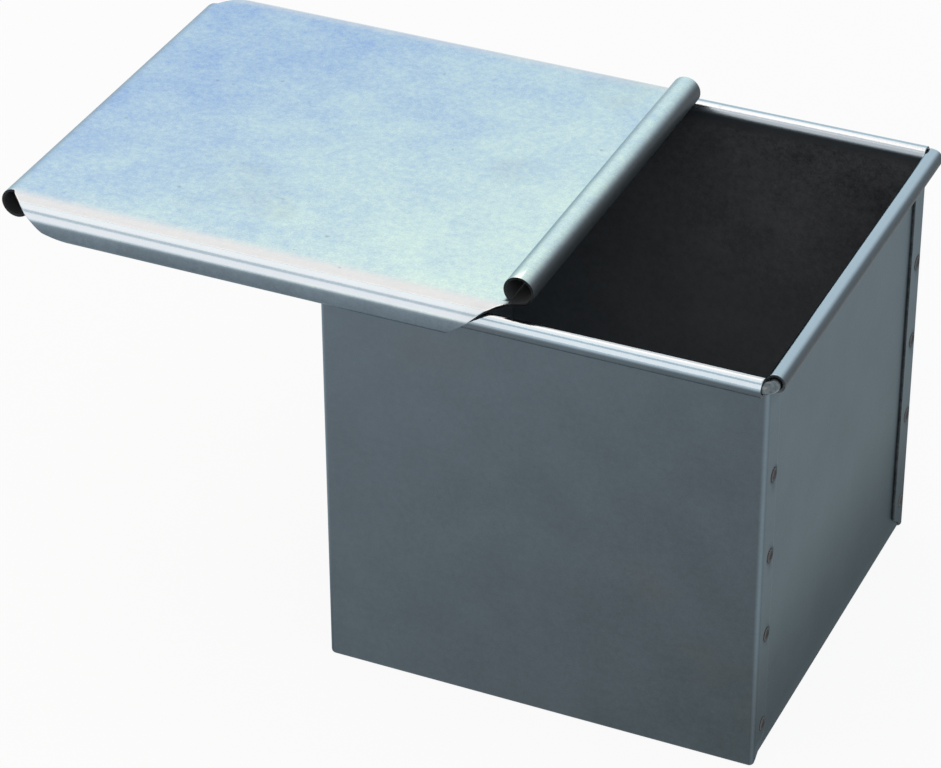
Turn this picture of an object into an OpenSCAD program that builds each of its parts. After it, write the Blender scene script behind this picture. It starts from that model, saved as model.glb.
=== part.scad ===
// Pullman loaf pan: a cube-shaped baking tin folded from steel sheet, with a wired rim
// and a lid that slides on the two long rims.
// Millimetres, Z up. The origin is the middle of the base, on the surface that the pan stands on.
// The lid slides along X. It is shut towards +X and is drawn pulled out towards -X.

/* [Pan] */
// Inside length, along the way the lid slides
inside_x = 98; // [80:1:130]
// Inside width, between the two long walls
inside_y = 98; // [80:1:130]
// Height from the base to the top of the rim
pan_h = 100; // [80:1:130]
// Thickness of the steel sheet
sheet = 0.6; // [0.5:0.05:0.8]
// Inside radius of every fold
fold_r = 0.6; // [0.4:0.1:1]
// Gap between an end wall's cut edge and the long wall beside it
seam_gap = 0.3; // [0.2:0.05:0.4]

/* [Corner tabs] */
// Width of a tab, folded from a long wall round onto the end wall
tab_w = 7; // [6:0.5:12]
// Height at which a tab's sloping foot meets its free edge
tab_bevel = 5.4; // [4:0.2:7]
// Radius of the corner between the sloping foot and the free edge
tab_corner_r = 2; // [1:0.5:3]
// Gap between the top of a tab and the end rim above it
tab_drop = 0.5; // [0.4:0.1:2]

/* [Spot welds] */
// Diameter of a weld
weld_d = 3.2; // [2.4:0.1:3.4]
// Depth of the pit that the welding tip leaves
weld_pit = 0.2; // [0.1:0.05:0.3]
// Gap round the weld's nugget, where the sheet is pressed in
weld_ring = 0.05; // [0.02:0.01:0.08]
// Welds on each tab
weld_count = 4; // [2:1:4]
// Height of the lowest weld
weld_low = 8.6; // [8:0.2:11]
// Height of the highest weld
weld_high = 73; // [70:1:76]
// Spacing of the welds, counted down from the highest
weld_pitch = 20.3; // [16:0.1:22]
// Distance of the welds from the front wall's face, on the two front tabs
weld_inset_front = 5.1; // [3.5:0.1:5.2]
// Distance of the welds from the back wall's face, on the two back tabs
weld_inset_back = 2.9; // [2.8:0.1:5.2]

/* [Rim] */
// Diameter of the wire inside the rim
wire_d = 2.8; // [2.4:0.1:3.4]
// Gap between the wire and the sheet rolled round it
wire_fit = 0.1; // [0.05:0.05:0.15]
// Inside radius of the wire's bend at a corner
wire_bend_in = 0.2; // [0.2:0.1:1]
// Gap between the two ends of the wire, hidden in the back rim
wire_joint = 0.4; // [0.2:0.1:1]
// How far the sheet turns round the wire, in degrees
rim_turn = 300; // [240:5:300]

/* [Lid] */
// Gap between the lid's sheet and the top of the rim
lid_lift = 0.3; // [0.25:0.05:0.6]
// Gap between each long rim and the side of the lid
lid_side_play = 0.5; // [0.3:0.1:1]
// Outside radius of the lid's shoulders, where the sheet turns down
shoulder_r = 3.2; // [2.6:0.1:4]
// Straight height of the lid's sides
flank_h = 1.4; // [1:0.1:4]
// Outside radius of the turn at the foot of the lid's sides
lip_r = 2; // [1.4:0.1:2.2]
// Straight width of the lip under the rim
lip_w = 2; // [1:0.1:2.2]
// Outside radius of the rolls at the lid's two ends
end_roll_r = 3.4; // [2.8:0.1:4]
// Distance of each end of a roll from the pan's outer face
end_roll_inset = 1.8; // [1.4:0.1:5]
// How far the stop roll turns down and under, in degrees
stop_roll_turn = 300; // [270:5:310]
// How far the pull roll turns up and over, in degrees
pull_roll_turn = 312; // [270:2:314]
// Distance from the pan's rim to the pull roll when the lid is shut
pull_reach = 4.8; // [4:0.2:12]
// Gap between the stop roll and the pan's rim when the lid is shut
stop_gap = 0.3; // [0.3:0.1:1]
// How far the lid is pulled out from shut
lid_open = 67.4; // [0:0.2:100]

/* [Lid corner cuts] */
// How far the cut has come in from the stop roll at the lid's side
stop_cut_side = 8.8; // [4:0.2:12]
// How far the cut has come in from the stop roll at the lip
stop_cut_lip = 17.5; // [12:0.5:24]
// How far the cut has come in from the pull roll at the lid's side
pull_cut_side = 8.4; // [4:0.2:10]
// How far the cut has come in from the pull roll at the lip
pull_cut_lip = 13.5; // [10:0.5:18]

/* [Hidden] */
$fn = 96;

// Half sizes of the pan
half_x = inside_x / 2;
half_y = inside_y / 2;
end_face = half_x + sheet;
tab_face = end_face + sheet;
long_face = half_y + sheet;
fold_out_r = fold_r + sheet;

// The rim: the roll's inner side is flush with the inside of its wall
rim_r = wire_d / 2 + wire_fit + sheet;
wire_bend_r = wire_d / 2 + wire_bend_in;
rim_z = pan_h - rim_r;
rim_x = half_x + rim_r;
rim_y = half_y + rim_r;
rim_out_x = half_x + 2 * rim_r;
rim_out_y = half_y + 2 * rim_r;
// The long rims stop where the wire starts to bend, and the end rims are as wide as their walls
long_rim_half = rim_x - wire_bend_r;
end_wall_half = half_y - seam_gap;
end_rim_half = min(end_wall_half, rim_y - wire_bend_r);
tab_top = pan_h - 2 * rim_r - tab_drop;

// Weld heights: the lowest by itself, and the others counted down from the highest
weld_heights = [weld_low, for (i = [0:weld_count - 2]) weld_high - i * weld_pitch];

// Levels of the lid
lid_under = pan_h + lid_lift;
lid_top = lid_under + sheet;
lid_side = rim_out_y + lid_side_play + sheet;
shoulder_z = lid_top - shoulder_r;
lip_z = shoulder_z - flank_h;
lid_foot = lip_z - lip_r;
end_roll_half = long_face - end_roll_inset;
// Centres of the two end rolls, with the lid pulled out
stop_x = -rim_out_x - stop_gap - end_roll_r - lid_open;
pull_x = rim_out_x + pull_reach + end_roll_r - lid_open;

// Larger than anything, for cutting tools
far = inside_x + inside_y + pan_h + lid_open;
eps = 0.01;

// Points of a pie slice from angle a to angle b, in steps of at most 30 degrees
function pie(r, a, b) = let (n = ceil(abs(b - a) / 30))
    [[0, 0], for (i = [0:n]) let (t = a + (b - a) * i / n) [r * cos(t), r * sin(t)]];

// Sheet bent round the origin, from angle a to angle b
module bent_sheet(r, a, b) {
    intersection() {
        difference() {
            circle(r);
            circle(r - sheet);
        }
        polygon(pie(2 * r, a, b));
    }
}

// Rectangle round the origin with four round corners
module round_rectangle(w, d, r) {
    square([w - 2 * r, d], center = true);
    square([w, d - 2 * r], center = true);
    for (x = [-1, 1], y = [-1, 1])
        translate([x * (w / 2 - r), y * (d / 2 - r)])
            circle(r);
}

// Draws a profile of (across, height) along X
module along_x(length) {
    rotate([90, 0, 90])
        linear_extrude(length, center = true)
            children();
}

// Draws a profile of (across, height) along Y
module along_y(length) {
    rotate([90, 0, 0])
        linear_extrude(length, center = true)
            children();
}

// Section of two facing walls with the base between them, half_w from the middle to a wall's face
module wall_section(half_w) {
    difference() {
        wall_outline(half_w, fold_out_r, 0);
        wall_outline(half_w - sheet, fold_r, sheet);
    }
}

// Outline of that section, open at the top, with its foot at height z
module wall_outline(half_w, r, z) {
    intersection() {
        translate([0, z + far])
            round_rectangle(2 * half_w, 2 * far, r);
        translate([-far, -eps])
            square([2 * far, rim_z + eps]);
    }
}

// Section of the rolled edge above a wall on the +across side
module rim_section(half_w) {
    translate([half_w + rim_r, rim_z])
        bent_sheet(rim_r, 180, 180 - rim_turn);
}

// Both walls' rolled edges
module rim_sections(half_w) {
    for (side = [0, 1])
        mirror([side, 0])
            rim_section(half_w);
}

// The four tabs, each with its bend from the long wall
module tabs() {
    difference() {
        linear_extrude(tab_top)
            difference() {
                round_rectangle(2 * tab_face, 2 * long_face, fold_out_r);
                round_rectangle(2 * end_face, 2 * half_y, fold_r);
                square([2 * far, 2 * (long_face - tab_w)], center = true);
                square([2 * half_x, 2 * far], center = true);
            }
        for (side = [0, 1])
            mirror([0, side, 0])
                along_x(2 * far)
                    tab_foot_cut();
    }
}

// What the sloping foot of a tab leaves out, with a round corner at the free edge
module tab_foot_cut() {
    slope = atan(tab_bevel / tab_w);
    free_y = long_face - tab_w;
    // The corner's arc touches the free edge and the slope
    reach = tab_corner_r * tan((90 - slope) / 2);
    centre = [free_y + tab_corner_r, tab_bevel + reach];
    arc_end = 270 - slope;
    polygon([
        [long_face + 1, -1],
        [long_face, 0],
        for (i = [6:-1:0])
            let (t = 180 + (arc_end - 180) * i / 6)
            centre + tab_corner_r * [cos(t), sin(t)],
        [free_y - 1, centre[1]],
        [free_y - 1, -1]
    ]);
}

// Runs its children at each weld, with X pointing out of the end wall
module at_welds() {
    for (end = [0, 1], height = weld_heights)
        mirror([end, 0, 0]) {
            translate([end_face, weld_inset_front - long_face, height])
                rotate([0, 90, 0])
                    children();
            translate([end_face, long_face - weld_inset_back, height])
                rotate([0, 90, 0])
                    children();
        }
}

// The pan: base, four walls, four tabs and the rolled edges, folded from one sheet
module pan_shell() {
    color("slategray")
    difference() {
        union() {
            along_x(2 * half_x)
                wall_section(long_face);
            along_y(2 * end_wall_half)
                wall_section(end_face);
            // The long walls run on above the tabs, as far as their rolled edges
            for (y = [-1, 1])
                translate([-long_rim_half, y * (half_y + sheet / 2) - sheet / 2, tab_top])
                    cube([2 * long_rim_half, sheet, rim_z - tab_top]);
            tabs();
            along_x(2 * long_rim_half)
                rim_sections(half_y);
            along_y(2 * end_rim_half)
                rim_sections(half_x);
        }
        at_welds()
            cylinder(h = 2 * sheet, d = weld_d);
    }
}

// The wire: one length bent to a square and laid in the rim, its ends meeting in the back rim
module rim_wire() {
    straight_x = 2 * (rim_x - wire_bend_r);
    straight_y = 2 * (rim_y - wire_bend_r);
    color("gray")
    translate([0, 0, rim_z])
        difference() {
            union() {
                for (y = [-1, 1])
                    translate([-straight_x / 2, y * rim_y, 0])
                        rotate([0, 90, 0])
                            cylinder(h = straight_x, d = wire_d);
                for (x = [-1, 1])
                    translate([x * rim_x, straight_y / 2, 0])
                        rotate([90, 0, 0])
                            cylinder(h = straight_y, d = wire_d);
                for (x = [0, 1], y = [0, 1])
                    mirror([x, 0, 0])
                        mirror([0, y, 0])
                            translate([straight_x / 2, straight_y / 2, 0])
                                rotate_extrude(angle = 90)
                                    translate([wire_bend_r, 0])
                                        circle(d = wire_d);
            }
            translate([0, rim_y, 0])
                cube([wire_joint, 2 * wire_d, 2 * wire_d], center = true);
        }
}

// The welds: a nugget at the bottom of each pit, standing on the end wall
module spot_welds() {
    color("dimgray")
    at_welds()
        cylinder(h = sheet - weld_pit, d = weld_d - 2 * weld_ring);
}

// Section of one side of the lid, from its sheet to the lip under the rim
module lid_side_section() {
    translate([lid_side - shoulder_r, shoulder_z])
        bent_sheet(shoulder_r, 0, 90);
    translate([lid_side - sheet, lip_z])
        square([sheet, flank_h]);
    translate([lid_side - lip_r, lip_z])
        bent_sheet(lip_r, -90, 0);
    translate([lid_side - lip_r - lip_w, lid_foot])
        square([lip_w, sheet]);
}

// Cutting tool for one corner of the lid, where the roll at x turns towards +X
module corner_cut(cut_side, cut_lip) {
    // Seen from above, from the roll's end to the lid's side
    side_slope = cut_side / (lid_side - end_roll_half);
    translate([0, 0, lid_foot - 1])
        linear_extrude(far)
            polygon([[0, end_roll_half], [far, end_roll_half], [far, far],
                [side_slope * (end_roll_half - far), far]]);
    // Seen from the side, from halfway down the lid's side to the lip
    flank_slope = (cut_lip - cut_side) / (flank_h / 2 + lip_r);
    translate([0, lid_side, 0])
        along_y(2 * (lip_r + lip_w + 1))
            polygon([[flank_slope * flank_h / 2 - cut_side, shoulder_z], [far, shoulder_z],
                [far, lid_foot - 1], [-flank_slope - cut_lip, lid_foot - 1]]);
}

// The lid: one sheet with both sides curled down round the rims, the stop end rolled down
// over the pan's end rim and the other end rolled up for pulling
module lid() {
    color("lightsteelblue")
    union() {
        difference() {
            translate([(stop_x + pull_x) / 2, 0, 0])
                along_x(pull_x - stop_x) {
                    translate([shoulder_r - lid_side, lid_under])
                        square([2 * (lid_side - shoulder_r), sheet]);
                    for (side = [0, 1])
                        mirror([side, 0])
                            lid_side_section();
                }
            for (side = [0, 1])
                mirror([0, side, 0]) {
                    translate([pull_x, 0, 0])
                        corner_cut(pull_cut_side, pull_cut_lip);
                    translate([stop_x, 0, 0])
                        mirror([1, 0, 0])
                            corner_cut(stop_cut_side, stop_cut_lip);
                }
        }
        along_y(2 * end_roll_half) {
            translate([stop_x, lid_top - end_roll_r])
                bent_sheet(end_roll_r, 90, 90 + stop_roll_turn);
            translate([pull_x, lid_under + end_roll_r])
                bent_sheet(end_roll_r, -90, pull_roll_turn - 90);
        }
    }
}

pan_shell();
rim_wire();
spot_welds();
lid();
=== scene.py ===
import math

import bmesh
import bpy
from mathutils import Matrix, Vector, noise


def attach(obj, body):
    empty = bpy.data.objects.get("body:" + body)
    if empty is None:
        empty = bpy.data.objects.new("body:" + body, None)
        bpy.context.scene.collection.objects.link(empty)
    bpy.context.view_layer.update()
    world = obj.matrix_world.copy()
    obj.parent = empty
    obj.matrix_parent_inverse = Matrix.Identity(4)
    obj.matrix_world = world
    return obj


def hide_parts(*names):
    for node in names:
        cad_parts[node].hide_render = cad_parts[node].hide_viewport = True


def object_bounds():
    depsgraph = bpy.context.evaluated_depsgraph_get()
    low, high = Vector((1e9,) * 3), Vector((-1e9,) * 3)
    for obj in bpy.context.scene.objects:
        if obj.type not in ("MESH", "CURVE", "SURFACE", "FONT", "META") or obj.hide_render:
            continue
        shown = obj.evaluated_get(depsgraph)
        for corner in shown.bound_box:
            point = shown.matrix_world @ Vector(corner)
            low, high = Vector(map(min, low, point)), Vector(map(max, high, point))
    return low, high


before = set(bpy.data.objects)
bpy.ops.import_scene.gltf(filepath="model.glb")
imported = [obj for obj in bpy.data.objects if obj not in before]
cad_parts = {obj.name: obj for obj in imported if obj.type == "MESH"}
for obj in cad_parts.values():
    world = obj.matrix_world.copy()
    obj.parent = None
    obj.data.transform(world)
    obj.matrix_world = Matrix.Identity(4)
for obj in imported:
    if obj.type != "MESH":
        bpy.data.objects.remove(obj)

scene = bpy.context.scene
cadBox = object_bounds()
mm = 0.001


def linearFromHex(code):
    channels = [int(code[i:i + 2], 16) / 255 for i in (1, 3, 5)]
    return [c / 12.92 if c <= 0.04045 else ((c + 0.055) / 1.055) ** 2.4 for c in channels] + [1.0]


def addObject(name, data):
    thing = bpy.data.objects.new(name, data)
    scene.collection.objects.link(thing)
    return thing


def addNode(tree, kind, links=None, **settings):
    # one node, with settings by attribute or input name, and links into its inputs by name or number
    node = tree.nodes.new(kind)
    for name, value in settings.items():
        if hasattr(node, name):
            setattr(node, name, value)
        else:
            node.inputs[name.replace("_", " ")].default_value = value
    for name, source in (links or {}).items():
        tree.links.new(source, node.inputs[name])
    return node


def figure(tree, operation, *values):
    # one sum, with a socket or a plain number at each place
    node = addNode(tree, "ShaderNodeMath", operation=operation)
    for socket, value in zip(node.inputs, values):
        if isinstance(value, bpy.types.NodeSocket):
            tree.links.new(value, socket)
        else:
            socket.default_value = value
    return node.outputs[0]


def spread(tree, value, low, high, bottom=0.0, top=1.0):
    # the value's run from low to high, made to run from bottom to top
    return addNode(tree, "ShaderNodeMapRange", {"Value": value}, From_Min=low, From_Max=high,
                   To_Min=bottom, To_Max=top).outputs["Result"]


def startMaterial(name):
    material = bpy.data.materials.new(name)
    material.use_nodes = True
    material.node_tree.nodes.clear()
    return material, material.node_tree


# Camera, at the photograph's viewing angle
view = {
    "azimuth": 24.42, "elevation": 33.11, "roll": -0.32,  # degrees
    "distance": 0.8383, "middle": (0.0, 0.0, 0.050),  # metres
    "across": -0.0346, "up": 0.0045,  # metres from the pan's middle to the middle of the picture
    "lens": 145.0, "sensor": 36.0,  # millimetres
}


def makeCamera():
    azimuth, elevation, roll = (math.radians(view[k]) for k in ("azimuth", "elevation", "roll"))
    back = Vector((math.sin(azimuth) * math.cos(elevation), -math.cos(azimuth) * math.cos(elevation),
                   math.sin(elevation)))
    right = (-back).cross(Vector((0, 0, 1))).normalized()
    up = right.cross(-back)
    right, up = (right * math.cos(roll) + up * math.sin(roll), up * math.cos(roll) - right * math.sin(roll))
    data = bpy.data.cameras.new("camera")
    data.lens = view["lens"]
    data.sensor_width = view["sensor"]
    camera = addObject("camera", data)
    place = Vector(view["middle"]) + right * view["across"] + up * view["up"] + back * view["distance"]
    camera.matrix_world = Matrix([[right[i], up[i], back[i], place[i]] for i in range(3)] + [[0, 0, 0, 1]])
    scene.camera = camera


makeCamera()
print("camera placed")


# Steel sheet dipped in molten aluminium, rolled and then folded. The aluminium gives a satin pale blue grey with
# soft cloudy mottling and faint rolling lines. The dull and bright tones are painted shade and painted highlight
# on one sheet, chosen by the marks below. Each tone runs from its first colour to its second along a way, between
# two places in millimetres. Its last figure is how much of the run the mottling takes.
panTones = {
    # dull: painted shade, darker towards the bottom and towards the +x end
    "dull": ("#40484A", "#67747E", (-0.5, 0, 0.5), -36, 74, 0.2),
    # bright: painted highlight, a little lighter upward across the rims
    "bright": ("#9AAFBC", "#AEC3D0", (0, 0, 1), 90, 110, 0.2),
    # near-white painted highlight for the rims' crests, a little lighter upward
    "paintedHighlight": ("#CDD1D5", "#D8DCE0", (0, 0, 1), 90, 110, 0.2),
    # food side: painted light, lighter towards the cavity's floor and its -x end, evening out the shade there
    "coatAndShade": ("#8C959C", "#2D3236", (0.4, 0, 1), 8, 100, 0.2),
    "roughDull": 0.40, "roughBright": 0.07, "bump": 0.16,
}
lidTones = {
    # dull: painted shade, darker down the flank and the lip
    "dull": ("#545F68", "#7C8C98", (0, 0, 1), 94, 99, 0.35),
    # bright: a painted sheen, lighter towards the front and towards the pull roll
    "bright": ("#92B1DE", "#DAF2E5", (0.82, -0.57, 0), -105, 10, 0.45),
    "paintedHighlight": ("#A8BAC6", "#E4E3E3", (0, 1, 0), -51.36, -51.13, 0.06),  # painted highlight, with a darker painted dip outward of where the near shoulder starts
    # painted shade under the lid and inside its curls and rolls
    "coatAndShade": ("#383C3E", "#444A4D", (0, 0, 1), 90, 110, 0.35),
    "roughDull": 0.34, "roughBright": 0.14, "bump": 0.12,
}
sheetGrain = {
    # sizes in millimetres; the grain is drawn coarser than the coat's real crystals, so that it shows
    "cloud": 13.0, "mottle": 1.5, "grain": 0.4, "line": 0.55, "lineLength": 40.0,
    "grainShare": 0.8, "lineShare": 0.5,  # next to the clouds and the mottling, which count as 1
    "sums": (1.05, 1.75),  # the patterns added up, where the mottling starts and is full
    "roughShare": 0.06, "relief": 0.1,
    "roughCoat": 0.5, "coatGloss": 0.2,
    "edgeTint": "#E8F4F8", "scorchedAndShadedTint": "#BFC9CD",  # what the metal turns to at a glancing angle
    # colour of the heat marks round the welds, also used as painted shade on the end walls' foot
    "scorchAndShade": "#242526", "scorchAndShadeShare": 0.5,
    # baked-on stains and dark specks: colour, size, noise detail, where in the noise they start and are full,
    # and how strong they get
    "spots": (("#6E655C", 46.0, 6.0, 0.6, 0.78, 0.25), ("#4C5358", 2.6, 1.0, 0.76, 0.82, 0.28)),
}


def pattern(tree, place, size, **settings):
    # noise whose features are about this many millimetres across
    return addNode(tree, "ShaderNodeTexNoise", {"Vector": place}, Scale=1 / (size * mm), **settings).outputs["Fac"]


def blendColours(tree, share, first, second):
    node = addNode(tree, "ShaderNodeMix", {0: share}, data_type="RGBA")
    for socket, colour in zip((node.inputs[6], node.inputs[7]), (first, second)):
        if isinstance(colour, bpy.types.NodeSocket):
            tree.links.new(colour, socket)
        else:
            socket.default_value = linearFromHex(colour)
    return node.outputs[2]


def tone(tree, place, mottle, tones, kind):
    first, second, way, low, high, uneven = tones[kind]
    along = addNode(tree, "ShaderNodeVectorMath", {0: place}, operation="DOT_PRODUCT")
    along.inputs[1].default_value = way
    sweep = spread(tree, along.outputs["Value"], low * mm, high * mm)
    share = figure(tree, "MULTIPLY_ADD", mottle, uneven, figure(tree, "MULTIPLY", sweep, 1 - uneven))
    return blendColours(tree, share, first, second)


def coatedSheet(name, tones):
    material, tree = startMaterial(name)
    place = addNode(tree, "ShaderNodeTexCoord").outputs["Object"]
    cloud = pattern(tree, place, sheetGrain["cloud"], Detail=3.0, Roughness=0.6)
    mottling = pattern(tree, place, sheetGrain["mottle"], Detail=3.0, Roughness=0.65)
    grain = pattern(tree, place, sheetGrain["grain"], Detail=2.0)
    stretched = addNode(tree, "ShaderNodeMapping", {"Vector": place})
    stretched.inputs["Scale"].default_value = (sheetGrain["line"] / sheetGrain["lineLength"], 1, 1)
    lines = pattern(tree, stretched.outputs["Vector"], sheetGrain["line"], Detail=2.0)
    summed = figure(tree, "ADD", figure(tree, "ADD", cloud, mottling),
                    figure(tree, "MULTIPLY", grain, sheetGrain["grainShare"]))
    mottle = spread(tree, summed, *sheetGrain["sums"])
    marks = {kind: addNode(tree, "ShaderNodeAttribute", attribute_name=kind).outputs["Fac"]
             for kind in ("wearAndPaintedLight", "paintedHighlight", "scorchedAndShaded", "coatedAndShaded")}
    colour = blendColours(tree, marks["wearAndPaintedLight"], tone(tree, place, mottle, tones, "dull"),
                          tone(tree, place, mottle, tones, "bright"))
    colour = blendColours(tree, marks["paintedHighlight"], colour, tone(tree, place, mottle, tones, "paintedHighlight"))
    for spotColour, size, detail, low, high, strength in sheetGrain["spots"]:
        share = spread(tree, pattern(tree, place, size, Detail=detail), low, high, 0.0, strength)
        colour = blendColours(tree, share, colour, spotColour)
    colour = blendColours(tree, figure(tree, "MULTIPLY", marks["scorchedAndShaded"], sheetGrain["scorchAndShadeShare"]), colour,
                          sheetGrain["scorchAndShade"])
    rough = spread(tree, marks["wearAndPaintedLight"], 0, 1, tones["roughDull"], tones["roughBright"])
    rough = figure(tree, "MULTIPLY_ADD", figure(tree, "ADD", mottling, lines), sheetGrain["roughShare"], rough)
    relief = figure(tree, "MULTIPLY_ADD", lines, sheetGrain["lineShare"], summed)
    bump = addNode(tree, "ShaderNodeBump", {"Height": relief}, Strength=tones["bump"],
                   Distance=sheetGrain["relief"] * mm)
    glance = blendColours(tree, marks["scorchedAndShaded"], sheetGrain["edgeTint"], sheetGrain["scorchedAndShadedTint"])
    metal = addNode(tree, "ShaderNodeBsdfPrincipled", {"Base Color": colour, "Roughness": rough,
                    "Specular Tint": glance, "Normal": bump.outputs["Normal"]}, Metallic=1.0)
    # dark: the pan's food side, and painted shade on the end rims and in the lid's curls and rolls
    coatAndShade = addNode(tree, "ShaderNodeBsdfPrincipled", {"Base Color": tone(tree, place, mottle, tones, "coatAndShade"),
                   "Normal": bump.outputs["Normal"]}, Roughness=sheetGrain["roughCoat"],
                   Specular_IOR_Level=sheetGrain["coatGloss"])
    both = addNode(tree, "ShaderNodeMixShader", {0: marks["coatedAndShaded"], 1: metal.outputs["BSDF"],
                   2: coatAndShade.outputs["BSDF"]})
    addNode(tree, "ShaderNodeOutputMaterial", {"Surface": both.outputs["Shader"]})
    return material


# Bare steel, where the coat was cut through, was never there or was burnt off. It is grey, finely blotched
# and darker than the coated sheet: the sheared edges show as a thin dark line, the drawn wire as a smooth rod
# at the rim's corners, and the burnt welds as near-black dots.
bareGrain = {"blotch": 6, "sums": (0.75, 1.25), "roughShare": 0.15, "bump": 0.25, "relief": 0.1}


def bareSteel(name, low, high, roughness, size):
    material, tree = startMaterial(name)
    place = addNode(tree, "ShaderNodeTexCoord").outputs["Object"]
    grain = pattern(tree, place, size, Detail=4.0, Roughness=0.6)
    blotch = pattern(tree, place, size * bareGrain["blotch"], Detail=2.0)
    share = spread(tree, figure(tree, "ADD", grain, blotch), *bareGrain["sums"])
    bump = addNode(tree, "ShaderNodeBump", {"Height": grain}, Strength=bareGrain["bump"],
                   Distance=bareGrain["relief"] * mm)
    metal = addNode(tree, "ShaderNodeBsdfPrincipled", {
        "Base Color": blendColours(tree, share, low, high),
        "Roughness": figure(tree, "MULTIPLY_ADD", blotch, bareGrain["roughShare"], roughness),
        "Normal": bump.outputs["Normal"]}, Metallic=1.0)
    addNode(tree, "ShaderNodeOutputMaterial", {"Surface": metal.outputs["BSDF"]})
    return material


# one sheet metal for pan and lid; its tones and marks hold painted highlights and painted shade
panMetal = coatedSheet("aluminium-coated steel sheet dulled by baking", panTones)
lidMetal = coatedSheet("aluminium-coated steel sheet rubbed bright", lidTones)
# darker and lighter colour, roughness, and size of the grain in millimetres
cutEdge = bareSteel("sheared steel edge", "#3C4247", "#5E6468", 0.45, 0.5)
# the lid's sheared edges, darkened with painted shade
shadedEdge = bareSteel("sheared steel edge darkened with painted shade", "#1E2022", "#383C3F", 0.5, 0.5)
wireSteel = bareSteel("drawn steel wire", "#434C50", "#717B80", 0.2, 0.7)
weldBurn = bareSteel("burnt spot weld", "#2B2A2C", "#474446", 0.45, 0.8)
print("materials mixed")


def between(start, end, steps):
    # evenly spaced places, with this many steps of mesh from the first to the last
    return [start + (end - start) * i / steps for i in range(steps + 1)]


def arcPoints(centre, radius, start, end, steps):
    # points on an arc in a plane, from one angle to another, in degrees
    angles = [math.radians(angle) for angle in between(start, end, steps)]
    return [(centre[0] + radius * math.cos(a), centre[1] + radius * math.sin(a)) for a in angles]


def readOff(pairs, place):
    # a value read off a list of (place, value) pairs, straight between them
    if place <= pairs[0][0]:
        return pairs[0][1]
    for (a, low), (b, high) in zip(pairs, pairs[1:]):
        if place <= b:
            return low + (high - low) * (place - a) / (b - a)
    return pairs[-1][1]


def smoothBetween(low, high, value):
    # 0 at the first number and 1 at the second, whichever is the larger
    share = min(1, max(0, (value - low) / (high - low)))
    return share * share * (3 - 2 * share)


def addGrid(mesh, rows):
    # quads through rows of points in millimetres
    corners = [[mesh.verts.new(Vector(p) * mm) for p in row] for row in rows]
    for near, far in zip(corners, corners[1:]):
        for i in range(len(near) - 1):
            mesh.faces.new((near[i], near[i + 1], far[i + 1], far[i]))


making = {
    "join": 0.004, "sliver": 0.001,  # millimetres: points this close are one, and edges this short go
    "edge": 0.09,  # width of the softened cut edges
    "edgeAngle": 50, "sharpAngle": 40,  # degrees between faces, from which an edge is softened or shaded sharp
}


def sheetObject(name, mesh, thickness, offset, materials):
    # merges the grids, turns them to face up, and gives the sheet its thickness and softened cut edges
    bmesh.ops.remove_doubles(mesh, verts=mesh.verts, dist=making["join"] * mm)
    bmesh.ops.dissolve_degenerate(mesh, edges=mesh.edges, dist=making["sliver"] * mm)
    bmesh.ops.recalc_face_normals(mesh, faces=mesh.faces)
    mesh.faces.ensure_lookup_table()
    if max(mesh.faces, key=lambda face: face.normal.z ** 2 * face.calc_area()).normal.z < 0:
        bmesh.ops.reverse_faces(mesh, faces=mesh.faces)
    data = bpy.data.meshes.new(name)
    mesh.to_mesh(data)
    mesh.free()
    for material in materials:
        data.materials.append(material)
    piece = addObject(name, data)
    solid = piece.modifiers.new("thickness", "SOLIDIFY")
    solid.thickness = thickness * mm
    solid.offset = offset
    solid.use_even_offset = True
    solid.use_quality_normals = True
    solid.material_offset = 1
    solid.material_offset_rim = 2
    bevel = piece.modifiers.new("softened edges", "BEVEL")
    bevel.width = making["edge"] * mm
    bevel.segments = 2
    bevel.limit_method = "ANGLE"
    bevel.angle_limit = math.radians(making["edgeAngle"])
    bakeModifiers(piece)
    piece.data.set_sharp_from_angle(angle=math.radians(making["sharpAngle"]))
    return piece


def bakeModifiers(piece):
    # the evaluated shape becomes the piece's plain mesh
    evaluated = piece.evaluated_get(bpy.context.evaluated_depsgraph_get())
    finished = bpy.data.meshes.new_from_object(evaluated)
    finished.name = piece.name
    piece.modifiers.clear()
    piece.data = finished
    finished.shade_smooth()


def paintPoints(piece, rules):
    # one number for each point and attribute, from its place in millimetres
    for name, rule in rules.items():
        layer = piece.data.attributes.new(name, "FLOAT", "POINT")
        layer.data.foreach_set("value", [rule(*(v.co / mm)) for v in piece.data.vertices])


# The pan, in millimetres: one blank folded up, its four edges rolled outward round a wire
pan = {
    "half": 49.0,  # from the middle to the inner face of every wall
    "sheet": 0.6, "fold": 0.6, "seamGap": 0.3,
    "flat": 45.0,  # even columns of mesh up to here
    "roll": 2.1, "rollTurn": 300, "rollSteps": 40, "rimZ": 97.9,
    "longEnd": 49.5, "longHoodEnd": 49.35,  # where a long rim stops, at its open and its hooded corner
    "tabTop": 95.3, "tabWidth": 7.0, "tabRise": 5.4, "tabCorner": 2.0,
    "tabSettle": 6.6,  # below this height a tab's rows are squeezed on to its sloping foot
    # how far the flat walls swell, over what length, the heights where it starts and ends, and how it fades there
    "wave": 0.1, "waveSpan": 38.0, "waveFrom": 2, "waveTo": 94, "waveFade": 14,
    "waveApart": 31.7,  # keeps the walls' swellings different
    # end of an end rim at its hooded corner, by the angle round the roll from the wall
    "hood": [(0, 48.7), (28, 49.2), (42, 51.7), (60, 51.5), (90, 50.9), (135, 50.8), (180, 51.0), (225, 50.9),
             (300, 50.0)],
}
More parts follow.
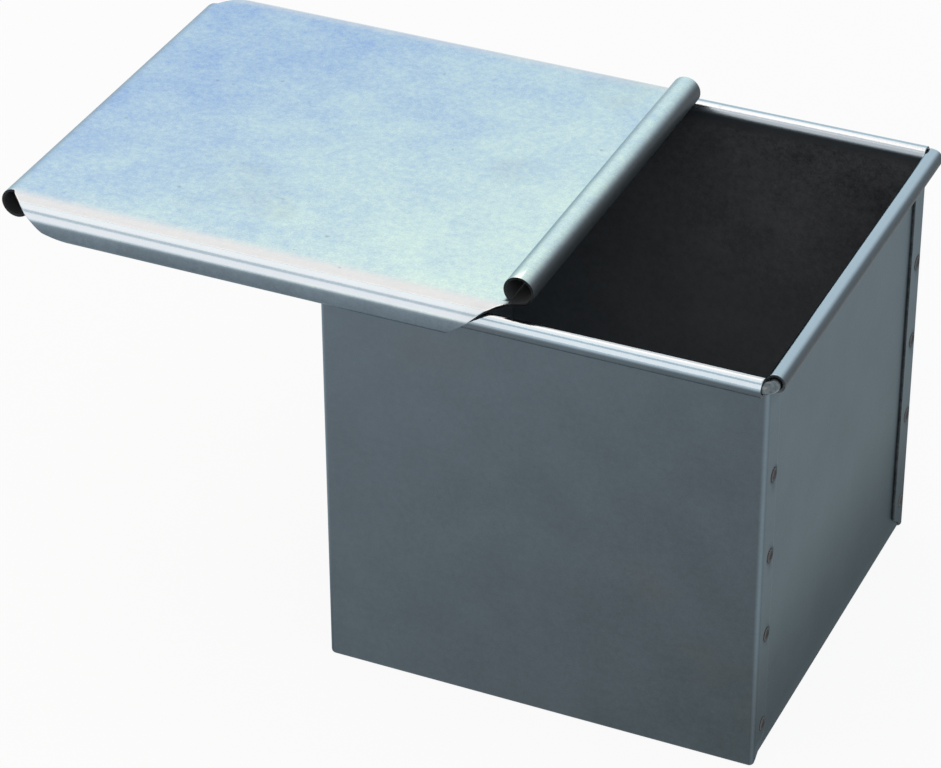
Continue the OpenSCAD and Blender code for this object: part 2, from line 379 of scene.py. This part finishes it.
# The spot welds, in millimetres: heights, places in from the front and the back corner, and size
weld = {
    "heights": (8.6, 32.4, 52.7, 73.0), "insetFront": 5.1, "insetBack": 2.9, "radius": 1.6,
    "rows": 2.0, "clear": 2.1,  # close rows of mesh this far from a weld, and no others
    "pit": 1.75, "pitDepth": 0.34, "pitSlope": 0.45, "skin": 0.05,  # the pits in the tabs' outer skin
    "thickness": 0.4, "sunk": 0.16, "depth": 0.2,
    "profile": ((0, 0.0), (0.45, 0.04), (0.72, 0.55), (0.86, 1.0), (1, 0.75)),  # dish and raised ring
    "sizes": (0.93, 1.0), "seed": 4,
}


def swell(a, b, kind):
    # how far a flat wall stands off true, fading out at its edges
    fade = min(1, (pan["half"] - abs(a)) / pan["waveFade"]) * min(
        1, max(0, b - pan["waveFrom"]) / pan["waveFade"], max(0, pan["waveTo"] - b) / pan["waveFade"])
    place = Vector((a, b, kind * pan["waveApart"])) / pan["waveSpan"]
    return pan["wave"] * max(0, fade) * noise.noise(place) * 2


def makePan():
    half, fold, sheet, roll, top = pan["half"], pan["fold"], pan["sheet"], pan["roll"], pan["tabTop"]
    inner, foot = half - fold, sheet + fold
    flats = [-inner] + between(-pan["flat"], pan["flat"], 18) + [inner]
    rollAngles = between(pan["rollTurn"], 0, pan["rollSteps"])
    rollRows = [(half + roll - roll * math.cos(math.radians(a)), pan["rimZ"] + roll * math.sin(math.radians(a)))
                for a in rollAngles]
    levels = {foot, top, pan["rimZ"]} | set(between(foot, top, 24))
    for height in weld["heights"]:
        levels = {z for z in levels if abs(z - height) > weld["clear"] or z in (foot, top)}
        levels |= set(between(height - weld["rows"], height + weld["rows"], 14))
    levels = sorted(levels, reverse=True)
    mesh = bmesh.new()
    foldRows = arcPoints((inner, foot), fold, 0, -90, 6)
    # the two long walls, the second one turned half round
    for way in (-1, 1):
        def put(x, across, z):
            return (-way * x, way * across, z)
        columns = [-half] + flats + [half]
        grid = [[put(x, across, z) for x in columns] for across, z in rollRows[:-1]]
        grid += [[put(x, half + swell(x, z, way), z) for x in columns] for z in levels]
        grid += [[put(x, across, z) for x in columns] for across, z in foldRows[1:]]
        addGrid(mesh, grid)
        # the rim and the wall's top run on past the fold, less at the hooded corner than at the open one
        for ends in (between(half, pan["longEnd"], 2), between(-half, -pan["longHoodEnd"], 2)):
            addGrid(mesh, [[put(x, across, z) for x in ends] for across, z in rollRows[:-1]]
                    + [[put(x, half, z) for x in ends] for z in levels if z >= top])
        for side in (-1, 1):
            addGrid(mesh, tabRows(side, put, levels, foot, top))
            # the rounded bottom corner
            addGrid(mesh, [[put(side * (half + fold * math.sin(t) * math.cos(a)),
                                inner + fold * math.cos(t) * math.cos(a), foot - fold * math.sin(a))
                            for t in between(0, math.pi / 2, 6)] for a in between(0, math.pi / 2, 6)])
    # base
    addGrid(mesh, [[(x, y, sheet) for x in flats] for y in flats])
    # the two end walls, each rim with its hood at the far end
    endLevels = between(pan["rimZ"], foot, 24)
    edge = half - pan["seamGap"]
    for way in (-1, 1):
        def put(y, across, z):
            return (way * across, way * y, z)
        grid = [[put(y, across, z) for y in flats] for across, z in rollRows[:-1]]
        grid += [[put(y, half + swell(y, z, way + 5), z) for y in flats] for z in endLevels]
        grid += [[put(y, across, z) for y in flats] for across, z in foldRows[1:]]
        addGrid(mesh, grid)
        for side in (-1, 1):
            rims = []
            for angle, (across, z) in zip(rollAngles, rollRows):
                reach = between(edge, readOff(pan["hood"], angle), 6) if side > 0 else [edge, edge]
                rims.append([put(side * y, across, z) for y in [inner] + reach])
            addGrid(mesh, rims)
            addGrid(mesh, [[put(side * y, half, z) for y in (inner, edge)] for z in endLevels])
    return mesh


def tabRows(side, put, levels, foot, top):
    # the fold round the corner and the tab on the end wall, its foot cut on a slope
    half, fold, sheet = pan["half"], pan["fold"], pan["sheet"]
    inner, face, width, corner = half - fold, half + sheet, pan["tabWidth"], pan["tabCorner"]
    slope = math.atan2(pan["tabRise"], width)
    reach = corner * math.tan((math.pi / 2 - slope) / 2)
    settle = pan["tabSettle"]
    columns = [(half + fold * math.sin(t), inner + fold * math.cos(t), foot) for t in between(0, math.pi / 2, 6)]
    for across in between(inner, face - width, 24)[1:]:
        down = face - across
        low = max(foot, down * math.tan(slope))
        if down > width - corner + corner * math.sin(slope):
            low = pan["tabRise"] + reach - math.sqrt(max(0, corner ** 2 - (down - width + corner) ** 2))
        columns.append((face, across, low))
    return [[put(side * x, across, z if z > settle else low + (z - foot) * (settle - low) / (settle - foot))
             for x, across, low in columns] for z in levels if z <= top]


def dishTabs(piece):
    # the pits that the welding tips pressed into the tabs
    face, longFace = pan["half"] + 2 * pan["sheet"], pan["half"] + pan["sheet"]
    centres = [(end * face, y, z) for end in (-1, 1)
               for y in (longFace - weld["insetBack"], weld["insetFront"] - longFace) for z in weld["heights"]]
    for vertex in piece.data.vertices:
        x, y, z = vertex.co / mm
        if abs(x) < face - weld["skin"]:
            continue
        for cx, cy, cz in centres:
            far = math.hypot(y - cy, z - cz)
            if cx * x > 0 and far < weld["pit"]:
                depth = weld["pitDepth"] * min(1, (weld["pit"] - far) / weld["pitSlope"])
                vertex.co.x -= math.copysign(depth * mm, x)
                break
    # nothing stands below the base
    for vertex in piece.data.vertices:
        vertex.co.z = max(vertex.co.z, 0)
    return centres


# Where the pan's painted highlights, painted shade and heat marks start and are full: millimetres out from
# the middle, heights, or degrees round a rim's roll
panWearAndLight = {
    "rimFoot": 95.6, "wallOut": 48.9, "tabOut": 49.9, "endOut": 49.3,
    "endTurn": (40, 74), "endCrown": (97.9, 98.5), "longCrown": (97.95, 98.6),
    "backInside": (49.75, 49.45), "backShare": 0.5,
    "foldRadius": 1.0, "foldShare": 0.3,
    "frontCrest": (51.9, 51.1), "frontHeight": (98.4, 98.9),
    "backShoulder": ((50.7, 50.2), (49.4, 49.7)), "shoulderShare": 0.55,
    "heat": (1.3, 2.6), "foot": (44, 4), "footShare": 0.75,
    "cavityOut": 49.2, "cavityTop": (97.2, 98.0), "rollShade": (50, 12), "rollShadeShare": 0.75,
}


def rimAngle(out, z):
    # place on a rim's roll, in degrees: 0 outside, 90 on top, 180 towards the cavity
    return math.degrees(math.atan2(z - pan["rimZ"], out - pan["half"] - pan["roll"]))


def panWearAndPaintedLight(x, y, z):
    # painted highlight on the rims' crests and along the corner folds, painted shade on the rims' undersides,
    # the end rims' outer sides and the back rim's inner side; the bright places are also glossier
    if z > panWearAndLight["rimFoot"] and max(abs(x), abs(y)) > panWearAndLight["wallOut"]:
        if abs(x) > abs(y):
            return smoothBetween(*panWearAndLight["endTurn"], rimAngle(abs(x), z)) * smoothBetween(*panWearAndLight["endCrown"], z)
        backShade = panWearAndLight["backShare"] * smoothBetween(*panWearAndLight["backInside"], y) if y > 0 else 0
        return smoothBetween(*panWearAndLight["longCrown"], z) * (1 - backShade)
    outX, outY = abs(x) - pan["half"], abs(y) - (pan["half"] - pan["fold"])
    if outX > 0 and outY > 0 and math.hypot(outX, outY) > panWearAndLight["foldRadius"]:
        around = math.degrees(math.atan2(outY, outX))
        return panWearAndLight["foldShare"] * smoothBetween(0, 45, around) * smoothBetween(90, 45, around)
    return 0.0


def panPaintedHighlight(x, y, z):
    # painted highlight on the crest of the front rim and the shoulder of the back rim, on the cavity's side
    if z < panWearAndLight["frontHeight"][0] or abs(x) > abs(y):
        return 0.0
    if y < 0:
        return smoothBetween(*panWearAndLight["frontCrest"], -y) * smoothBetween(*panWearAndLight["frontHeight"], z)
    outer, cavity = panWearAndLight["backShoulder"]
    return panWearAndLight["shoulderShare"] * smoothBetween(*outer, y) * smoothBetween(*cavity, y)


def panScorchedAndShaded(x, y, z):
    # heat marks round the welds, and painted shade darkening the foot of the end walls
    if abs(x) < panWearAndLight["wallOut"] or z > panWearAndLight["rimFoot"]:
        return 0.0
    heat = max(1 - smoothBetween(*panWearAndLight["heat"], math.hypot(y - cy, z - cz)) for _, cy, cz in weldPlaces)
    return max(heat if abs(x) > panWearAndLight["tabOut"] else 0,
               panWearAndLight["footShare"] * smoothBetween(*panWearAndLight["foot"], z) if abs(x) > panWearAndLight["endOut"] else 0)


def panCoatAndShade(x, y, z):
    # dark on the food side, and painted shade on the outside of the end rims
    if max(abs(x), abs(y)) < panWearAndLight["cavityOut"]:
        return 1 - smoothBetween(*panWearAndLight["cavityTop"], z)
    if z > panWearAndLight["rimFoot"] and abs(x) > abs(y):
        return panWearAndLight["rollShadeShare"] * smoothBetween(*panWearAndLight["rollShade"], rimAngle(abs(x), z))
    return 0.0


panSheet = sheetObject("panSheet", makePan(), pan["sheet"], -1, (panMetal, panMetal, cutEdge))
weldPlaces = dishTabs(panSheet)
paintPoints(panSheet, {"wearAndPaintedLight": panWearAndPaintedLight, "paintedHighlight": panPaintedHighlight, "scorchedAndShaded": panScorchedAndShaded, "coatedAndShaded": panCoatAndShade})
print("pan folded:", len(panSheet.data.polygons), "faces")

# The lid, in millimetres: the middle of its sheet, with both sides curled down and a roll at each end
lid = {
    "sheet": 0.6, "level": 100.6,  # height of the middle of the sheet
    "side": 54.0, "shoulder": 2.9, "flank": 1.4, "lip": 1.7, "lipWidth": 2.0,
    "rollX": (-124.28, -6.2),  # axes of the stop roll and the pull roll
    "roll": 3.1, "stopTurn": 300, "pullTurn": 322,
    "plain": 46.0,  # the middle strip runs into both rolls
    # how far the flat swells, over what length, and how it fades towards the sides and the rolls
    "wave": 0.06, "waveSpan": 45.0, "fadeSide": 16, "fadeRoll": 14, "waveSlice": 7,
    # ends of the rolls, near side and far side, stop roll and pull roll
    "rollEnds": {(-1, 0): 47.6, (1, 0): 47.8, (-1, 1): 46.4, (1, 1): 47.8},
    # the corner cuts: how far in from the roll, by the distance across the flattened sheet
    "stopCut": [(0, 0), (1.4, 0.9), (4.6, 3.9), (6.6, 6.1), (7.9, 7.9), (8.7, 8.8), (9.7, 9.9), (10.3, 12.2),
                (11.2, 15.6), (12.2, 17.2), (14.5, 18.6)],
    "pullCut": [(0, 0), (0.5, 1.2), (1.4, 2.3), (3.0, 3.7), (4.8, 4.6), (6.3, 5.6), (7.3, 6.5), (8.9, 8.1),
                (10.2, 10.0), (12.0, 12.6), (14.5, 14.2)],
}


def makeLid():
    side, shoulder, flank, lip = lid["side"], lid["shoulder"], lid["flank"], lid["lip"]
    level, plain, roll = lid["level"], lid["plain"], lid["roll"]
    stopX, pullX = lid["rollX"]
    # across the side: flat margin, shoulder, flank, turn and lip
    strip = [(y, level) for y in between(plain, side - shoulder, 12)]
    strip += arcPoints((side - shoulder, level - shoulder), shoulder, 90, 0, 12)[1:]
    strip += [(side, level - shoulder - flank * f) for f in (0.5, 1)]
    strip += arcPoints((side - lip, level - shoulder - flank), lip, 0, -90, 9)[1:]
    foot = level - shoulder - flank - lip
    strip += [(side - lip - lid["lipWidth"] * f, foot) for f in (0.33, 0.66, 1)]
    lengths = [0]
    for a, b in zip(strip, strip[1:]):
        lengths.append(lengths[-1] + math.dist(a, b))
    # rows from roll to roll, closer together at both ends, where the sheet is cut and painted most
    along = [0, 0.004, 0.01] + between(0.02, 0.968, 28) + [0.972, 0.976, 0.98, 0.985, 0.99, 0.996, 1]
    flats = between(-plain, plain, 22)
    mesh = bmesh.new()

    def plateZ(x, y):
        fade = min(1, (plain - abs(y)) / lid["fadeSide"], (x - stopX) / lid["fadeRoll"],
                   (pullX - x) / lid["fadeRoll"])
        place = Vector((x, y, lid["waveSlice"])) / lid["waveSpan"]
        return level + lid["wave"] * max(0, fade) * 2 * noise.noise(place)

    addGrid(mesh, [[(x, y, plateZ(x, y)) for y in flats] for x in (stopX + (pullX - stopX) * f for f in along)])
    stopArc = arcPoints((stopX, level - roll), roll, 90, 90 + lid["stopTurn"], 44)
    pullArc = arcPoints((pullX, level + roll), roll, -90, lid["pullTurn"] - 90, 46)
    for which, arc in enumerate((stopArc, pullArc)):
        addGrid(mesh, [[(x, y, z) for y in flats] for x, z in arc])
        for hand in (-1, 1):
            reach = [y for y, z in strip if y < lid["rollEnds"][hand, which] and z == level]
            addGrid(mesh, [[(x, hand * y, z) for y in reach] for x, z in arc])
    for hand in (-1, 1):
        cuts = []
        for which, table in enumerate((lid["stopCut"], lid["pullCut"])):
            start = max(s for (y, z), s in zip(strip, lengths) if y < lid["rollEnds"][hand, which] and z == level)
            cuts.append([readOff(table, s - start) if s > start else 0 for s in lengths])
        addGrid(mesh, [[(stopX + cuts[0][i] + (pullX - stopX - cuts[0][i] - cuts[1][i]) * f, hand * y, z)
                        for i, (y, z) in enumerate(strip)] for f in along])
    return mesh


# Where the lid's painted highlights and painted shade start and are full: heights, millimetres across or
# along, or degrees round the pull roll from its far side
lidPaintedLight = {
    "sides": (98.4, 99.25), "stopEdge": (-0.4, 2.6), "stopShare": 0.8,
    "pullTop": (28, 84), "pullBack": (96, 124), "creaseOn": 1, "dullShare": 0.62,
    "flatTop": 0.27, "shoulderOut": 50.5,
    "nearEdge": (45.4, 49.2), "nearShare": 0.95, "farEdge": (49, 51), "farShare": 0.35,
    "overTop": 0.15, "mouthTop": 0.05, "mouthOut": 46.2, "rollShade": (64, 26), "rollShadeShare": 0.9,
}


def pullAngle(x, z):
    # place on the pull roll, in degrees: 0 on its far side, 90 on top
    return math.degrees(math.atan2(z - lid["level"] - lid["roll"], x - lid["rollX"][1])) % 360


def lidWearAndPaintedLight(x, y, z):
    # painted highlight on top and round the shoulders, painted shade lower down the flank, in the crease, on the
    # far side of the pull roll and along the stop roll's edge; the bright places are also glossier
    stopX, pullX = lid["rollX"]
    crease = pullX - lid["roll"]
    if x > crease - lid["sheet"]:
        if z > lid["level"] + lid["sheet"] or x > pullX:
            angle = pullAngle(x, z)
            back = 1 - lidPaintedLight["dullShare"] * smoothBetween(*lidPaintedLight["pullBack"], angle)
            return smoothBetween(*lidPaintedLight["pullTop"], angle) * back if angle < 270 else 0.0
        return 1 - lidPaintedLight["dullShare"] * smoothBetween(crease - lid["sheet"], crease + lidPaintedLight["creaseOn"], x)
    stop = 1 - lidPaintedLight["stopShare"] * smoothBetween(*lidPaintedLight["stopEdge"], stopX - x)
    return smoothBetween(*lidPaintedLight["sides"], z) * stop


def lidPaintedHighlight(x, y, z):
    # painted highlight along the two long edges, where the flat turns down into the shoulder, stronger on the
    # near side
    if x > lid["rollX"][1]:
        return 0.0
    if z < lid["level"] + lidPaintedLight["flatTop"]:
        return smoothBetween(*lidPaintedLight["sides"], z) if abs(y) > lidPaintedLight["shoulderOut"] else 0.0
    return (lidPaintedLight["nearShare"] * smoothBetween(*lidPaintedLight["nearEdge"], -y)
            + lidPaintedLight["farShare"] * smoothBetween(*lidPaintedLight["farEdge"], y))


def lidCoatAndShade(x, y, z):
    # painted shade on the underside, inside the side curls and both rolls, and on the far side of the pull roll
    stopX, pullX = lid["rollX"]
    level, roll, shoulder, lip = lid["level"], lid["roll"], lid["shoulder"], lid["lip"]
    across, top = abs(y), level + lid["sheet"] / 2
    if x < stopX:
        return float(math.hypot(x - stopX, z - level + roll) < roll)
    atPull = x > pullX - roll
    if atPull and z > level or z > top + lidPaintedLight["overTop"]:
        inMouth = atPull and z < top + lidPaintedLight["mouthTop"] and across < lidPaintedLight["mouthOut"]
        if inMouth or math.hypot(x - pullX, z - level - roll) < roll:
            return 1.0
        angle = pullAngle(x, z)
        return lidPaintedLight["rollShadeShare"] * (1 if angle > 270 else smoothBetween(*lidPaintedLight["rollShade"], angle))
    if x > pullX:
        return lidPaintedLight["rollShadeShare"]
    turn = lid["side"] - shoulder
    if z > level - shoulder:
        return float(z < level if across < turn else math.hypot(across - turn, z - level + shoulder) < shoulder)
    lipY, lipZ = lid["side"] - lip, level - shoulder - lid["flank"]
    if across < lipY:
        return float(z > lipZ - lip)
    return float(across < lid["side"] if z > lipZ else math.hypot(across - lipY, z - lipZ) < lip)


lidSheet = sheetObject("lidSheet", makeLid(), lid["sheet"], 0, (lidMetal, lidMetal, shadedEdge))
# nothing stands above the part's own top
for vertex in lidSheet.data.vertices:
    vertex.co.z = min(vertex.co.z, cadBox[1][2])
paintPoints(lidSheet, {"wearAndPaintedLight": lidWearAndPaintedLight, "paintedHighlight": lidPaintedHighlight, "coatedAndShaded": lidCoatAndShade})
print("lid folded:", len(lidSheet.data.polygons), "faces")

# The rim wire, in millimetres: one length bent to a square, wider under the hoods, its ends in the back rim
wire = {"middle": 51.1, "height": 97.9, "diameter": 2.64, "bend": 1.9, "hoodBend": 4.0, "joint": 0.4}


def newTree(name, inputs):
    tree = bpy.data.node_groups.new(name, "GeometryNodeTree")
    tree.interface.new_socket("Geometry", in_out="INPUT", socket_type="NodeSocketGeometry")
    for label, kind in inputs.items():
        tree.interface.new_socket(label, in_out="INPUT", socket_type="NodeSocket" + kind)
    tree.interface.new_socket("Geometry", in_out="OUTPUT", socket_type="NodeSocketGeometry")
    return tree, addNode(tree, "NodeGroupInput").outputs


def endTree(tree, shape, metal):
    real = addNode(tree, "GeometryNodeRealizeInstances", {"Geometry": shape})
    dressed = addNode(tree, "GeometryNodeSetMaterial", {"Geometry": real.outputs[0], "Material": metal})
    addNode(tree, "NodeGroupOutput", {"Geometry": dressed.outputs[0]})


def runTree(piece, tree, values):
    # sets the tree's inputs by their identifiers, then keeps the result as a plain mesh
    modifier = piece.modifiers.new(tree.name, "NODES")
    modifier.node_group = tree
    for item in tree.interface.items_tree:
        if item.item_type == "SOCKET" and item.in_out == "INPUT" and item.name in values:
            modifier[item.identifier] = values[item.name]
    bakeModifiers(piece)


def makeWire():
    tree, given = newTree("wire along a path", {"Diameter": "Float", "Metal": "Material"})
    bend = addNode(tree, "GeometryNodeInputNamedAttribute", data_type="FLOAT", Name="bend")
    path = addNode(tree, "GeometryNodeMeshToCurve", {"Mesh": given["Geometry"]})
    rounded = addNode(tree, "GeometryNodeFilletCurve", {"Curve": path.outputs[0], "Radius": bend.outputs[0]},
                      mode="POLY", Count=10)
    section = addNode(tree, "GeometryNodeCurvePrimitiveCircle",
                      {"Radius": figure(tree, "MULTIPLY", given["Diameter"], 0.5)}, Resolution=28)
    tube = addNode(tree, "GeometryNodeCurveToMesh",
                   {"Curve": rounded.outputs[0], "Profile Curve": section.outputs[0]}, Fill_Caps=True)
    endTree(tree, tube.outputs[0], given["Metal"])
    m, z, gap = wire["middle"], wire["height"], wire["joint"] / 2
    points = [(gap, m, z), (m, m, z), (m, -m, z), (-m, -m, z), (-m, m, z), (-gap, m, z)]
    data = bpy.data.meshes.new("rimWire")
    data.from_pydata([Vector(p) * mm for p in points], [(i, i + 1) for i in range(5)], [])
    tight, wide = wire["bend"] * mm, wire["hoodBend"] * mm
    data.attributes.new("bend", "FLOAT", "POINT").data.foreach_set("value", [0, wide, tight, wide, tight, 0])
    piece = addObject("rimWire", data)
    runTree(piece, tree, {"Diameter": wire["diameter"] * mm, "Metal": wireSteel})
    return piece


rimWire = makeWire()
print("wire bent:", len(rimWire.data.polygons), "faces")


def makeWelds():
    tree, given = newTree("spot welds on points", {"Radius": "Float", "Depth": "Float", "Seed": "Int",
                                                   "Metal": "Material"})
    button = addNode(tree, "GeometryNodeMeshCylinder", {"Radius": given["Radius"]},
                     Vertices=32, Side_Segments=1, Fill_Segments=8, Depth=weld["thickness"] * mm)
    position = addNode(tree, "GeometryNodeInputPosition")
    parts = addNode(tree, "ShaderNodeSeparateXYZ", {0: position.outputs[0]}).outputs
    flat = addNode(tree, "ShaderNodeCombineXYZ", {"X": parts["X"], "Y": parts["Y"]})
    far = addNode(tree, "ShaderNodeVectorMath", {0: flat.outputs[0]}, operation="LENGTH")
    share = figure(tree, "DIVIDE", far.outputs["Value"], given["Radius"])
    profile = addNode(tree, "ShaderNodeFloatCurve", {"Value": share})
    points = profile.mapping.curves[0].points
    points[0].location, points[1].location = weld["profile"][0], weld["profile"][-1]
    for place in weld["profile"][1:-1]:
        points.new(*place)
    profile.mapping.update()
    lift = figure(tree, "MULTIPLY", profile.outputs[0], given["Depth"])
    offset = addNode(tree, "ShaderNodeCombineXYZ", {"Z": figure(tree, "SUBTRACT", lift, given["Depth"])})
    dished = addNode(tree, "GeometryNodeSetPosition", {
        "Geometry": button.outputs["Mesh"], "Selection": figure(tree, "GREATER_THAN", parts["Z"], 0.0),
        "Offset": offset.outputs[0]})
    sunk = addNode(tree, "GeometryNodeTransform", {"Geometry": dished.outputs[0]},
                   Translation=(0, 0, -weld["sunk"] * mm))
    facing = addNode(tree, "GeometryNodeInputNamedAttribute", data_type="FLOAT_VECTOR", Name="facing")
    turned = addNode(tree, "FunctionNodeAlignRotationToVector", {"Vector": facing.outputs[0]}, axis="Z")
    size = addNode(tree, "FunctionNodeRandomValue", {"Seed": given["Seed"]}, data_type="FLOAT")
    size.inputs[2].default_value, size.inputs[3].default_value = weld["sizes"]
    placed = addNode(tree, "GeometryNodeInstanceOnPoints", {
        "Points": given["Geometry"], "Instance": sunk.outputs[0], "Rotation": turned.outputs[0],
        "Scale": size.outputs[1]})
    endTree(tree, placed.outputs[0], given["Metal"])
    data = bpy.data.meshes.new("spotWelds")
    data.from_pydata([Vector(p) * mm for p in weldPlaces], [], [])
    facings = data.attributes.new("facing", "FLOAT_VECTOR", "POINT")
    for layer, place in zip(facings.data, weldPlaces):
        layer.vector = (math.copysign(1, place[0]), 0, 0)
    piece = addObject("spotWelds", data)
    runTree(piece, tree, {"Radius": weld["radius"] * mm, "Depth": weld["depth"] * mm, "Seed": weld["seed"],
                          "Metal": weldBurn})
    piece.data.set_sharp_from_angle(angle=math.radians(making["sharpAngle"]))
    return piece


spotWelds = makeWelds()
print("welds set:", len(spotWelds.data.polygons), "faces")

for piece, body, node, slot in (
        (panSheet, "pan", "pan_shell", "pan_sheet"), (rimWire, "pan", "rim_wire", "wire"),
        (spotWelds, "pan", "spot_welds", "weld"), (lidSheet, "sliding_lid", "lid", "lid_sheet")):
    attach(piece, body)
    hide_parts(node)


# Studio: a pale floor and two softboxes in a room that lights everything evenly and looks white. The gap
# between the softboxes draws the thin darker line along the bends, as in the photograph.
studio = {
    "floorHalf": 3.0, "floorColour": "#F2F5F6",
    "floorLift": 0.92,  # how far the floor goes to white where it is seen and doesn't light
    "room": (0.84, 0.94, 1.0), "roomStrength": 0.55,
    # name, lean towards the front from straight above in degrees, place across, width, height, brightness as
    # seen in a mirror, colour. The one above stands to the left, so that the flat lid doesn't mirror it when
    # seen from the top.
    "softboxes": (("softbox above", -17.0, -1.0, 1.4, 1.70, 1.05, (1.0, 0.72, 0.56)),
                  ("softbox in front", 56.0, -0.4, 2.6, 1.40, 0.9, (1.0, 0.70, 0.56))),
    "softboxAway": 1.6,  # metres from the pan's middle
}


def seenRays(tree):
    # 1 for a ray that looks, straight or by a reflection, and 0 for one that lights
    ray = addNode(tree, "ShaderNodeLightPath").outputs
    straight = figure(tree, "MAXIMUM", ray["Is Camera Ray"], ray["Is Glossy Ray"])
    return figure(tree, "MAXIMUM", straight, ray["Is Transmission Ray"])


def makeStage():
    mesh = bpy.data.meshes.new("floor")
    half = studio["floorHalf"]
    mesh.from_pydata([(-half, -half, 0), (half, -half, 0), (half, half, 0), (-half, half, 0)], [], [(0, 1, 2, 3)])
    floor = addObject("floor", mesh)
    # matt white paper, which keeps the object's soft shadow
    material, tree = startMaterial("pale floor")
    paper = addNode(tree, "ShaderNodeBsdfDiffuse", Color=linearFromHex(studio["floorColour"]))
    white = addNode(tree, "ShaderNodeEmission", Color=(1, 1, 1, 1), Strength=1.0)
    lift = figure(tree, "MULTIPLY", seenRays(tree), studio["floorLift"])
    shade = addNode(tree, "ShaderNodeMixShader", {0: lift, 1: paper.outputs["BSDF"], 2: white.outputs["Emission"]})
    addNode(tree, "ShaderNodeOutputMaterial", {"Surface": shade.outputs["Shader"]})
    mesh.materials.append(material)


def makeLights():
    world = bpy.data.worlds.new("studio")
    scene.world = world
    world.use_nodes = True
    tree = world.node_tree
    tree.nodes.clear()
    room = addNode(tree, "ShaderNodeBackground", Color=[*studio["room"], 1], Strength=studio["roomStrength"])
    white = addNode(tree, "ShaderNodeBackground", Color=(1, 1, 1, 1), Strength=1.0)
    shade = addNode(tree, "ShaderNodeMixShader", {0: seenRays(tree), 1: room.outputs["Background"],
                    2: white.outputs["Background"]})
    addNode(tree, "ShaderNodeOutputWorld", {"Surface": shade.outputs["Shader"]})
    for name, lean, across, width, height, brightness, colour in studio["softboxes"]:
        data = bpy.data.lights.new(name, "AREA")
        data.shape = "RECTANGLE"
        data.size, data.size_y = width, height
        data.energy = brightness * math.pi * width * height
        data.color = colour
        lamp = addObject(name, data)
        turn = math.radians(lean)
        toward = Vector((0, -math.sin(turn), math.cos(turn))) * studio["softboxAway"]
        lamp.location = toward + Vector((across, 0, view["middle"][2]))
        lamp.rotation_euler = (turn, 0, 0)


makeStage()
makeLights()
print("studio lit")
scene.view_settings.view_transform = "Standard"
